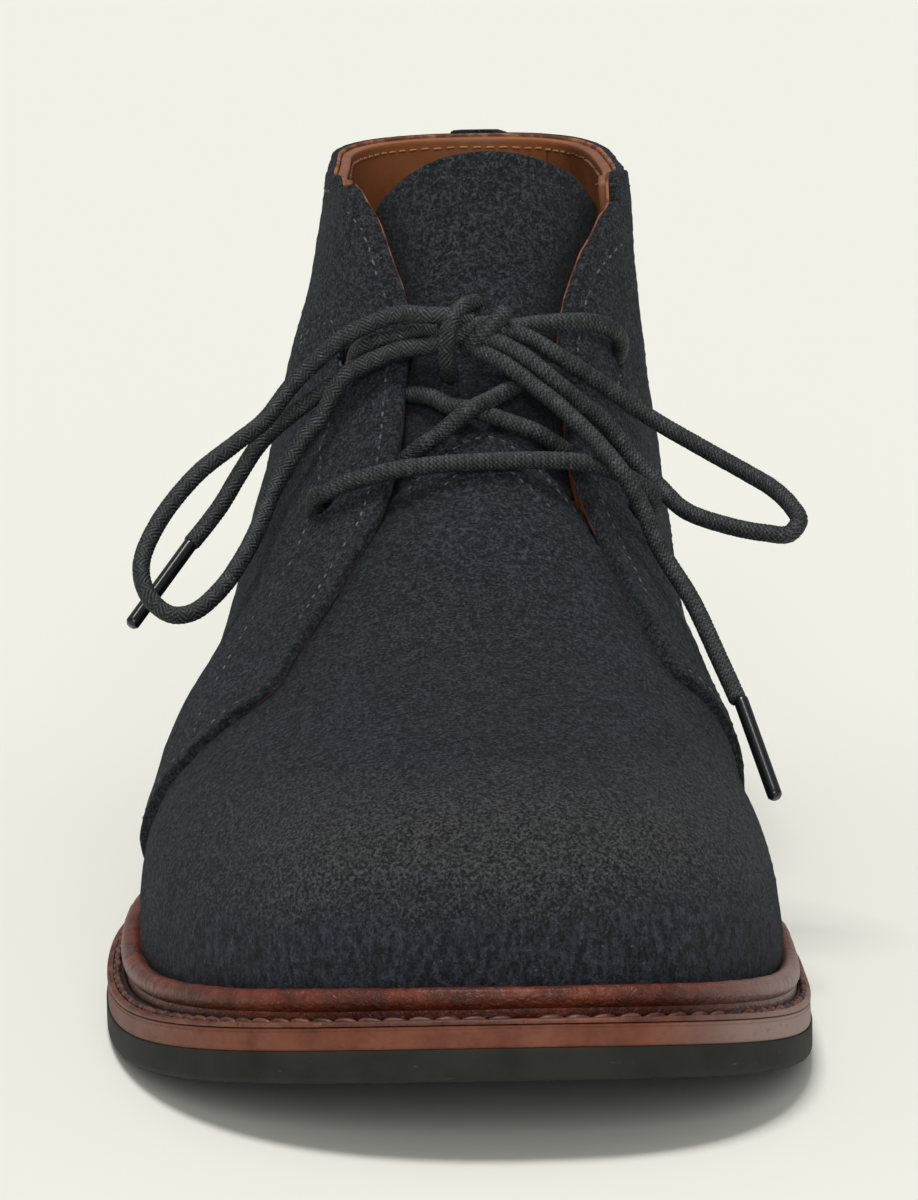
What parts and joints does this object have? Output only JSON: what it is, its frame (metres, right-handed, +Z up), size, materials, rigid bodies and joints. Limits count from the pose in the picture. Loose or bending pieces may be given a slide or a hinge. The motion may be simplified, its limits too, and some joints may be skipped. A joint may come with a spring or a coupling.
{
  "type": "chukka boot",
  "caption": "Ankle-high suede chukka boot for the right foot, storm-welted on a flat rubber sole with a low heel, tied with a round lace.",
  "frame": {"origin": "on the ground at the middle of the sole's footprint", "axes": "+Z up, the toe points to -Y, +X is the inner (medial) side of the right foot"},
  "size_m": [0.1167, 0.3036, 0.133],
  "materials": {
    "suede": "napped suede, dark navy, dry and matte",
    "lining": "smooth tan leather, satin",
    "rubber": "dark grey rubber, matte",
    "sole_leather": "edge-finished reddish brown leather, satin",
    "welt_leather": "dark red-brown leather, waxed",
    "lace": "waxed braided cotton, near black",
    "aglet": "glossy black film"
  },
  "bodies": {
    "root": {"outsole": "rubber", "heel": "rubber", "midsole": "sole_leather", "welt": "welt_leather", "insole": "lining", "upper": "suede", "tongue": "suede", "lace_bar": "lace", "lace_crossing": "lace", "lace_knot": "lace", "lace_loop_lateral": "lace", "lace_loop_medial": "lace", "lace_end_lateral": "lace", "lace_end_medial": "lace", "aglet_lateral": "aglet", "aglet_medial": "aglet"}
  },
  "joints": []
}
